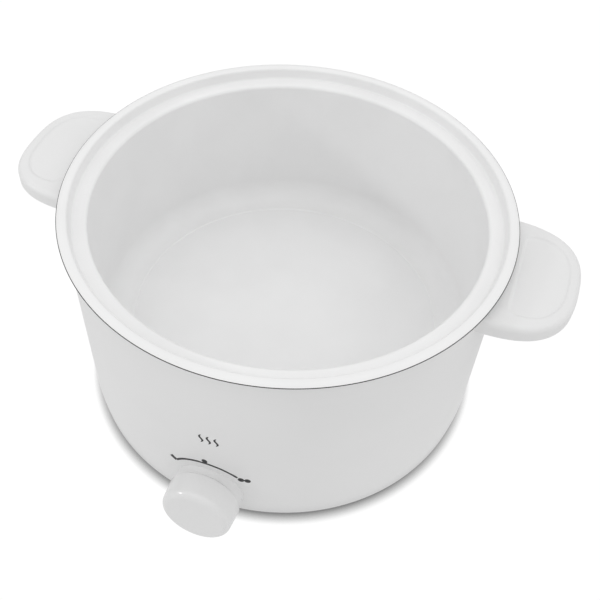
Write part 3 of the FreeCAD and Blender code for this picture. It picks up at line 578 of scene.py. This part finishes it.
def rest_ring(grow, z):
    """Closed D-shaped loop of the thumb rest, grown by the given amount."""
    outer = superellipse(REST_MID_X, REST_A, REST_HALF_WIDTH, REST_POWER, -grow)
    inner_x = REST_INNER_X - grow
    b = REST_HALF_WIDTH + grow
    corner = REST_CORNER_R + grow
    corners = [(REST_MID_X, b), (inner_x, b, corner), (inner_x, -b, corner), (REST_MID_X, -b)]
    inner = fillet_path(corners)
    side = resampled(inner, INNER_POINTS + 2)[1:-1]
    return [Vector((p.x, p.y, z)) for p in resampled(outer, OUTER_POINTS) + side]


def quarter(radius, steps=7):
    """(inset, rise) pairs of a quarter round, from the vertical side to the flat."""
    pairs = []
    for k in range(steps + 1):
        angle = math.pi / 2 * k / steps
        pairs.append((radius * (1 - math.cos(angle)), radius * math.sin(angle)))
    return pairs


def soft_slope(depth, radius, steps=7):
    """(grow, drop) pairs of two equal arcs that lead down from a flat to a lower flat."""
    turn = math.acos(1 - depth / (2 * radius))
    pairs = []
    for k in range(steps + 1):
        angle = turn * k / steps
        grow = radius * (math.sin(turn) - math.sin(angle))
        pairs.append((grow, radius * (1 - math.cos(angle))))
    lower = [(-grow, depth - drop) for grow, drop in reversed(pairs[:-1])]
    return pairs + lower


def handle_mesh():
    """The right handle as loops: up its side, over its edge and down into the thumb rest."""
    rings = []
    for inset, rise in reversed(quarter(HANDLE_UNDER_R)):
        rings.append(handle_ring(inset, HANDLE_BOTTOM_Z + HANDLE_UNDER_R - rise))
    for inset, rise in quarter(HANDLE_EDGE_R, EDGE_STEPS):
        rings.append(handle_ring(inset, HANDLE_TOP_Z - HANDLE_EDGE_R + rise))
    for grow, drop in soft_slope(REST_DEPTH, REST_SLOPE_R):
        rings.append(rest_ring(grow - REST_SLOPE_IN, HANDLE_TOP_Z - drop))
    rings.append(rest_ring(-REST_FLAT_IN, HANDLE_TOP_Z - REST_DEPTH))
    return stacked_rings(rings)


def make_handles():
    for side in ("right", "left"):
        mesh = handle_mesh()
        if side == "left":
            half_turned(mesh)
        name = f"{side}_handle_shell"
        handle = finished_piece(name, mesh, "base", MATERIALS["handle"])
        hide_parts(f"{side}_handle")


# ---- the knob, made along +Z with z = 0 at the wall, then placed on its joint ----
KNOB_BACK_R = 22.4
KNOB_FRONT_R = 21.4
KNOB_BACK = 7.0                            # distances from the wall
KNOB_FRONT = 23.0
KNOB_EDGE_R = 4.2
KNOB_RIM_R = 0.5                           # rounding of the back edge, outside and inside
KNOB_MOUTH_EDGE_R = 0.4
KNOB_MOUTH_R = KNOB_FRONT_R - 1.7          # radius of the hollow at the back
KNOB_ROOF_R = KNOB_FRONT_R - 2.4           # and at its far end
KNOB_ROOF_EDGE_R = 1.6
KNOB_FACE_T = 2.6
KNOB_HUB_R = 6.0
KNOB_HUB_DRAFT = 0.2                       # the hub is thicker by this where it meets the face
KNOB_HUB_FOOT_R = 0.8
KNOB_HUB_START = 4.6
KNOB_HUB_EDGE_R = 0.4
KNOB_BORE_R = 3.1
KNOB_BORE_EDGE_R = 0.3
KNOB_BORE_END = KNOB_FRONT - 4.4
KNOB_SEGMENTS = 160


def on_knob_axis(mesh):
    """The same bmesh moved from +Z onto the knob's axis."""
    turn = Vector((0, 0, 1)).rotation_difference(KNOB_OUT).to_matrix().to_4x4()
    mesh.transform(Matrix.Translation(KNOB_ORIGIN) @ turn)
    return mesh


def make_knob():
    roof = KNOB_FRONT - KNOB_FACE_T
    outline = [
        (0, KNOB_FRONT, 0),
        (KNOB_FRONT_R, KNOB_FRONT, KNOB_EDGE_R),
        (KNOB_BACK_R, KNOB_BACK, KNOB_RIM_R),
        (KNOB_MOUTH_R, KNOB_BACK, KNOB_MOUTH_EDGE_R),
        (KNOB_ROOF_R, roof, KNOB_ROOF_EDGE_R),
        (KNOB_HUB_R + KNOB_HUB_DRAFT, roof, KNOB_HUB_FOOT_R),
        (KNOB_HUB_R, KNOB_HUB_START, KNOB_HUB_EDGE_R),
        (KNOB_BORE_R, KNOB_HUB_START, KNOB_BORE_EDGE_R),
        (KNOB_BORE_R, KNOB_BORE_END, 0),
        (0, KNOB_BORE_END, 0),
    ]
    mesh = on_knob_axis(lathe(fillet_path(outline, FINE_STEPS), KNOB_SEGMENTS))
    knob = finished_piece("knob_shell", mesh, "control", MATERIALS["knob"])
    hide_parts("control_knob")


# ---- what is printed on the wall ----
PRINT_LIFT = 0.06                          # a print stands this far out of the wall
# The heat scale. Angles run clockwise from straight above the knob's axis.
SCALE_R = 27.0
SCALE_LINE = 1.55                          # width of the arc
SCALE_START_DEG = -50.0
SCALE_END_DEG = 41.2
SCALE_UNDER_TICK_DEG = 2.0                 # the arc reaches this far into the tick
TICK_R = 29.2
TICK_LENGTH = 4.4
TICK_DEG = 5.6
LOW_DOT = (29.4, -3.8)                     # distance and angle of a dot's middle
LOW_DOT_R = 1.8
HIGH_DOTS = ((27.4, 47.2), (30.4, 52.0))
HIGH_DOT_R = 1.95
DOT_CHORD = 0.04                           # share of the half turn that each end chord cuts off
# The heat waves, from their distances to the right of the wall's front line.
WAVE_PLACES = (-3.0, 1.6, 6.2)
WAVE_Z = 76.5
WAVE_HEIGHT = 7.5
WAVE_SWAY = 0.9
WAVE_WIDTH = 1.5
WAVE_END_SHARE = 0.35                      # share of the width left at the ends


def on_wall(s, z, lift):
    """Point on the housing's wall, s millimetres to the right of its front line."""
    radius = wall_radius(z)
    angle = s / radius
    return Vector(((radius + lift) * math.sin(angle), -(radius + lift) * math.cos(angle), z)) * MM


def printed_patch(name, strip):
    """Thin printed solid on the wall, from a list of pairs of (s, z), one on each side of it."""
    mesh = bmesh.new()
    rows = []
    for pair in strip:
        row = [mesh.verts.new(on_wall(*point, PRINT_LIFT)) for point in pair]
        row += [mesh.verts.new(on_wall(*point, -PRINT_LIFT)) for point in reversed(pair)]
        rows.append(row)
    for a, b in zip(rows, rows[1:]):
        for i in range(4):
            j = (i + 1) % 4
            mesh.faces.new((a[i], a[j], b[j], b[i]))
    mesh.faces.new(rows[0][::-1])
    mesh.faces.new(rows[-1])
    finished_piece(name, mesh, "base", MATERIALS["ink"])


def around_knob(radius, angle_deg):
    """(s, z) at a distance from the knob's axis, clockwise from straight above it."""
    angle = math.radians(angle_deg)
    return (radius * math.sin(angle), KNOB_ORIGIN.z / MM + radius * math.cos(angle))


def arc_strip(radius, width, start_deg, end_deg, count=48):
    """A stretch of an arc round the knob's axis."""
    inner = radius - width / 2
    outer = radius + width / 2
    strip = []
    for i in range(count + 1):
        angle = start_deg + (end_deg - start_deg) * i / count
        strip.append((around_knob(inner, angle), around_knob(outer, angle)))
    return strip


def dot_strip(centre, radius, count=14):
    """A round dot as rows across it; its ends are short chords."""
    strip = []
    for i in range(count + 1):
        across = math.cos(math.pi * (DOT_CHORD + (1 - 2 * DOT_CHORD) * i / count))
        half = radius * math.sqrt(1 - across * across)
        s = centre[0] - radius * across
        strip.append(((s, centre[1] - half), (s, centre[1] + half)))
    return strip


def wave_strip(s, count=32):
    """An upright wavy stroke that thins towards its ends."""
    strip = []
    for i in range(count + 1):
        share = i / count
        fullness = WAVE_END_SHARE + (1 - WAVE_END_SHARE) * math.sin(math.pi * share)
        half = WAVE_WIDTH / 2 * fullness
        middle = s + WAVE_SWAY * math.sin(2 * math.pi * share)
        z = WAVE_Z + WAVE_HEIGHT * share
        strip.append(((middle - half, z), (middle + half, z)))
    return strip


def make_prints():
    line = arc_strip(SCALE_R, SCALE_LINE, SCALE_START_DEG - SCALE_UNDER_TICK_DEG, SCALE_END_DEG)
    tick = arc_strip(TICK_R, TICK_LENGTH, SCALE_START_DEG - TICK_DEG, SCALE_START_DEG, 3)
    printed_patch("heat_scale_print", line)
    printed_patch("off_mark_print", tick)
    printed_patch("low_dot_print", dot_strip(around_knob(*LOW_DOT), LOW_DOT_R))
    for number, place in enumerate(HIGH_DOTS, 1):
        printed_patch(f"high_dot_print_{number}", dot_strip(around_knob(*place), HIGH_DOT_R))
    for number, s in enumerate(WAVE_PLACES, 1):
        printed_patch(f"heat_wave_print_{number}", wave_strip(s))


# ---- floor, light and camera ----
FLOOR_SIZE = 12.0                # metres
FLOOR_CELLS = 8
FLOOR_SEEN = 1.02                # the floor looks paper white, and so does the sky
FLOOR_LIGHT = 0.79               # and the floor lights the object from below by less
FOOT_SHADE_REACH = 8.5           # the contact shade falls on floor this near the object
FOOT_SHADE_R = 133.0             # and ends here, before the knob
FOOT_SHADE_FADE = 4.0
FOOT_SHADE_RANGE = (0.40, 0.92)  # openness of the darkest and of the unshaded floor
FOOT_SHADE_DARKEST = (0.22, 0.22, 0.22)
FOOT_SHADE_SAMPLES = 16
SKY_HORIZON = 0.55
SKY_SLOPE = (0.13, 0.02, 0.60)   # how much brighter the sky is towards +X, +Y and +Z
LAMP_WIDTH = 0.2                 # metres
LAMP_POWER = 2.5                 # watts
LAMP_DISTANCE = 1.5              # metres from the point that it faces
LAMP_TOWARDS = (-0.85, -0.50, 0.42)
LAMP_AIM_Z = 75.0


def seen_or_lit(tree, seen, lit):
    """Strength seen for what the camera sees directly, and lit, a number or socket, otherwise."""
    path = tree.add("ShaderNodeLightPath")
    choice = tree.add("ShaderNodeMix", data_type="FLOAT")
    factor, lit_socket, seen_socket = choice.inputs[0], choice.inputs[2], choice.inputs[3]
    seen_socket.default_value = seen
    tree.link(path.outputs["Is Camera Ray"], factor)
    if isinstance(lit, float):
        lit_socket.default_value = lit
    else:
        tree.link(lit, lit_socket)
    return choice.outputs[0]


def make_floor():
    bpy.ops.mesh.primitive_grid_add(x_subdivisions=FLOOR_CELLS, y_subdivisions=FLOOR_CELLS,
                                    size=FLOOR_SIZE)
    floor = bpy.context.object
    floor.name = "studio_floor"
    material = bpy.data.materials.new("pale_floor")
    material.use_nodes = True
    material.node_tree.nodes.clear()
    tree = Tree(material.node_tree)
    shade = tree.add("ShaderNodeAmbientOcclusion", samples=FOOT_SHADE_SAMPLES)
    shade.inputs["Distance"].default_value = FOOT_SHADE_REACH * MM
    place = tree.add("ShaderNodeTexCoord")
    away = tree.add("ShaderNodeVectorMath", operation="LENGTH")
    tree.link(place.outputs["Object"], away.inputs[0])
    fade = (FOOT_SHADE_R * MM, (FOOT_SHADE_R + FOOT_SHADE_FADE) * MM)
    outside = tree.ranged(away.outputs["Value"], fade, (0, 1))
    open_share = tree.add("ShaderNodeMath", operation="MAXIMUM")
    tree.link(outside, open_share.inputs[0])
    tree.link(shade.outputs["AO"], open_share.inputs[1])
    tones = (FOOT_SHADE_DARKEST, (1, 1, 1))
    tone = tree.ramp(open_share.outputs["Value"], FOOT_SHADE_RANGE, tones)
    glow = tree.add("ShaderNodeEmission")
    tree.link(tone, glow.inputs["Color"])
    tree.link(seen_or_lit(tree, FLOOR_SEEN, FLOOR_LIGHT), glow.inputs["Strength"])
    output = tree.add("ShaderNodeOutputMaterial")
    tree.link(glow.outputs["Emission"], output.inputs["Surface"])
    floor.data.materials.append(material)


def make_sky():
    """Even white to the camera; as a light it grows brighter along SKY_SLOPE."""
    world = bpy.data.worlds.new("studio")
    bpy.context.scene.world = world
    world.use_nodes = True
    tree = Tree(world.node_tree)
    place = tree.add("ShaderNodeTexCoord")
    slope = tree.add("ShaderNodeVectorMath", operation="DOT_PRODUCT")
    slope.inputs[1].default_value = SKY_SLOPE
    tree.link(place.outputs["Generated"], slope.inputs[0])
    level = tree.add("ShaderNodeMath", operation="ADD")
    level.inputs[1].default_value = SKY_HORIZON
    tree.link(slope.outputs["Value"], level.inputs[0])
    background = world.node_tree.nodes["Background"]
    background.inputs["Color"].default_value = (1, 1, 1, 1)
    strength = seen_or_lit(tree, FLOOR_SEEN, level.outputs["Value"])
    tree.link(strength, background.inputs["Strength"])


def make_lamp():
    soft = bpy.data.lights.new("soft_box", "AREA")
    soft.shape = "DISK"
    soft.size = LAMP_WIDTH
    soft.energy = LAMP_POWER
    lamp = bpy.data.objects.new("soft_box", soft)
    bpy.context.scene.collection.objects.link(lamp)
    towards = Vector(LAMP_TOWARDS).normalized()
    lamp.location = Vector((0, 0, LAMP_AIM_Z * MM)) + towards * LAMP_DISTANCE
    lamp.rotation_mode = "QUATERNION"
    lamp.rotation_quaternion = (-towards).to_track_quat("-Z", "Y")


CAMERA_DISTANCE = 523.8          # from the middle of the rim
CAMERA_AZIMUTH_DEG = 18.35       # from straight in front of the knob towards +X
CAMERA_ELEVATION_DEG = 43.01
CAMERA_AIM = (13.22, -10.42, 75.0)
CAMERA_ROLL_DEG = -3.585
CAMERA_LENS = 53.143             # focal length in mm behind a sensor of this width
CAMERA_SENSOR = 36.0


def make_camera():
    data = bpy.data.cameras.new("photo_camera")
    data.lens = CAMERA_LENS
    data.sensor_width = CAMERA_SENSOR
    camera = bpy.data.objects.new("photo_camera", data)
    bpy.context.scene.collection.objects.link(camera)
    azimuth = math.radians(CAMERA_AZIMUTH_DEG)
    elevation = math.radians(CAMERA_ELEVATION_DEG)
    away = Vector((math.sin(azimuth) * math.cos(elevation),
                   -math.cos(azimuth) * math.cos(elevation), math.sin(elevation)))
    camera.location = (Vector((0, 0, RIM_Z)) + away * CAMERA_DISTANCE) * MM
    aim = Vector(CAMERA_AIM) * MM - camera.location
    look = aim.to_track_quat("-Z", "Y").to_matrix().to_4x4()
    roll = Matrix.Rotation(math.radians(-CAMERA_ROLL_DEG), 4, "Z")
    camera.matrix_world = Matrix.Translation(camera.location) @ look @ roll
    bpy.context.scene.camera = camera


dress_cad_nodes()
make_pot()
make_handles()
make_knob()
make_prints()
make_floor()
make_sky()
make_lamp()
make_camera()
bpy.context.scene.view_settings.view_transform = "Standard"
